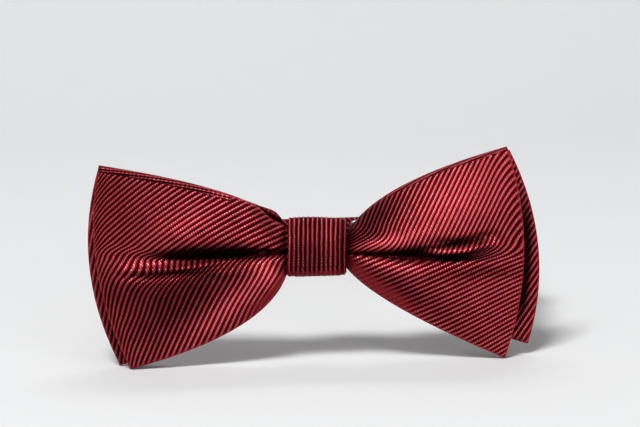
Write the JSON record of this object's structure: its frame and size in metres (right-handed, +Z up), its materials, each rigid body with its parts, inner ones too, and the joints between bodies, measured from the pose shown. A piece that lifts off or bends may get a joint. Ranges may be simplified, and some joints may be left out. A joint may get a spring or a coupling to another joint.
{
  "type": "bow tie",
  "caption": "Pre-tied butterfly bow tie in ribbed burgundy silk: two layered wings pinched by a wrapped knot, on an adjustable neck strap that hooks shut beside the knot.",
  "frame": {"origin": "middle of the footprint of the standing tie, on the surface it stands on", "axes": "+X along the bow to the right as one faces it, +Y from the bow back to the nape of the strap, +Z up; the tie leans back by 9.96 degrees, on its two front lower wing tips and the nape of the strap"},
  "size_m": [0.1204, 0.1416, 0.0559],
  "materials": {
    "bow_silk": "ribbed satin, ribs on the bias",
    "knot_silk": "ribbed satin, ribs upright",
    "strap_silk": "ribbed satin, ribs across",
    "interlining": "plain canvas",
    "thread": "twisted sewing thread",
    "nickel": "satin nickel plate"
  },
  "bodies": {
    "bow": {"front_bow": "bow_silk", "front_bow_interlining": "interlining", "rear_bow": "bow_silk", "rear_bow_interlining": "interlining", "gather_thread": "thread", "knot_band": "knot_silk", "knot_interlining": "interlining", "knot_seam_thread": "thread", "neck_strap_front": "strap_silk", "eye_tab": "strap_silk", "strap_anchor_stitch": "thread", "eye_tab_stitch": "thread"},
    "eye": {"eye": "nickel"},
    "strap": {"neck_strap": "strap_silk", "strap_tail": "strap_silk"},
    "hook": {"hook": "nickel"},
    "slider": {"slider": "nickel", "strap_tail_end": "strap_silk", "tail_end_stitch": "thread"}
  },
  "joints": [
    {"name": "strap_open", "type": "hinge", "parent": "bow", "child": "strap", "pos_m": [-0.04755, -0.04854, 0.02812], "axis": [0, 0.173, 0.9849], "range_deg": [0, 75]},
    {"name": "hook_pivot", "type": "hinge", "parent": "strap", "child": "hook", "pos_m": [0.02567, -0.05446, 0.02916], "axis": [0, 0.173, 0.9849], "range_deg": [-60, 0]},
    {"name": "eye_pivot", "type": "hinge", "parent": "bow", "child": "eye", "pos_m": [0.01008, -0.05609, 0.02944], "axis": [0, 0.173, 0.9849], "range_deg": [-6, 0]},
    {"name": "slider_travel", "type": "slide", "parent": "strap", "child": "slider", "axis": [0, 0.9849, -0.173], "range_m": [0, 0.024]}
  ]
}
